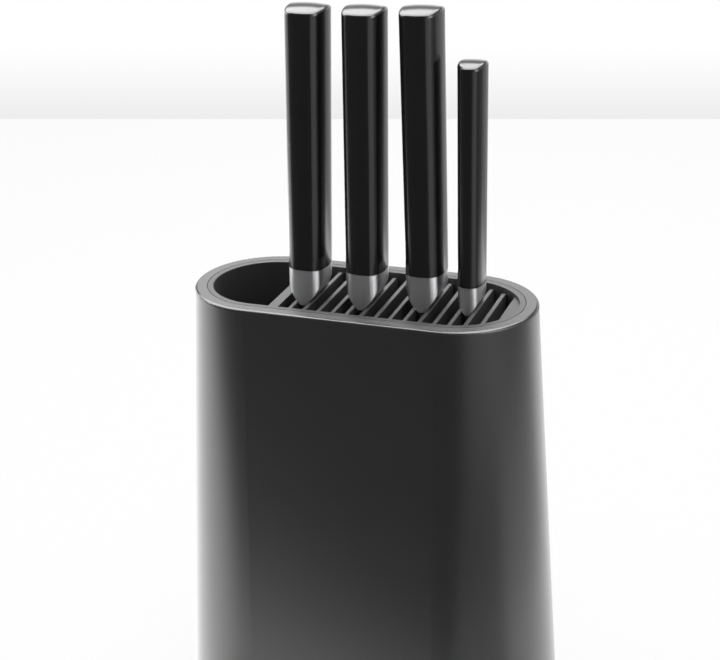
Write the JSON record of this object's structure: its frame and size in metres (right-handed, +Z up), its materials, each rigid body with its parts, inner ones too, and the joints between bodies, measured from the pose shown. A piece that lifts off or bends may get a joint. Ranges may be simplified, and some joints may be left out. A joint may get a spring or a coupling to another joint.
{
  "type": "knife block with knives",
  "caption": "Freestanding oval knife block with a lift-out slotted insert, an open compartment at one end, and steel kitchen knives with black handles that draw straight up",
  "frame": {"origin": "the middle of the surface that the block stands on, below the middle of the shell's outline", "axes": "+Z up, +X along the row of slots away from the open compartment, +Y to the back, where the knives' cutting edges point, -Y the front"},
  "size_m": [0.1968, 0.1028, 0.3603],
  "materials": {
    "shell_plastic": "fine satin black moulding",
    "base_plastic": "plain matt black moulding",
    "insert_plastic": "satin black moulding, a little paler on its edges",
    "foot_rubber": "matt rubber",
    "screw_steel": "zinc-plated screw",
    "blade_steel": "ground steel, lines across the blade",
    "bolster_steel": "satin polished forging",
    "handle_plastic": "smooth black moulding with a soft gloss"
  },
  "bodies": {
    "block": {"outer_shell": "shell_plastic", "base_plate": "base_plastic", "rubber_foot_1": "foot_rubber", "rubber_foot_2": "foot_rubber", "rubber_foot_3": "foot_rubber", "rubber_foot_4": "foot_rubber", "base_screws": "screw_steel"},
    "slot_insert": {"insert_frame": "insert_plastic", "slot_rib_01": "insert_plastic", "slot_rib_02": "insert_plastic", "slot_rib_03": "insert_plastic", "slot_rib_04": "insert_plastic", "slot_rib_05": "insert_plastic", "slot_rib_06": "insert_plastic", "slot_rib_07": "insert_plastic", "slot_rib_08": "insert_plastic", "slot_rib_09": "insert_plastic", "slot_rib_10": "insert_plastic", "slot_rib_11": "insert_plastic", "slot_rib_12": "insert_plastic", "slot_rib_13": "insert_plastic", "slot_rib_14": "insert_plastic"},
    "chef_knife": {"chef_blade": "blade_steel", "chef_bolster": "bolster_steel", "chef_handle": "handle_plastic"},
    "bread_knife": {"bread_blade": "blade_steel", "bread_bolster": "bolster_steel", "bread_handle": "handle_plastic"},
    "carving_knife": {"carving_blade": "blade_steel", "carving_bolster": "bolster_steel", "carving_handle": "handle_plastic"},
    "paring_knife": {"paring_blade": "blade_steel", "paring_bolster": "bolster_steel", "paring_handle": "handle_plastic"}
  },
  "joints": [
    {"name": "insert_lift", "type": "slide", "parent": "block", "child": "slot_insert", "axis": [0, 0, 1], "range_m": [0, 0.2]},
    {"name": "chef_draw", "type": "slide", "parent": "slot_insert", "child": "chef_knife", "axis": [0.026, 0, 0.9997], "range_m": [0, 0.215]},
    {"name": "bread_draw", "type": "slide", "parent": "slot_insert", "child": "bread_knife", "axis": [0.0123, 0, 0.9999], "range_m": [0, 0.215]},
    {"name": "carving_draw", "type": "slide", "parent": "slot_insert", "child": "carving_knife", "axis": [-0.0123, 0, 0.9999], "range_m": [0, 0.215]},
    {"name": "paring_draw", "type": "slide", "parent": "slot_insert", "child": "paring_knife", "axis": [0, 0, 1], "range_m": [0, 0.105]}
  ]
}
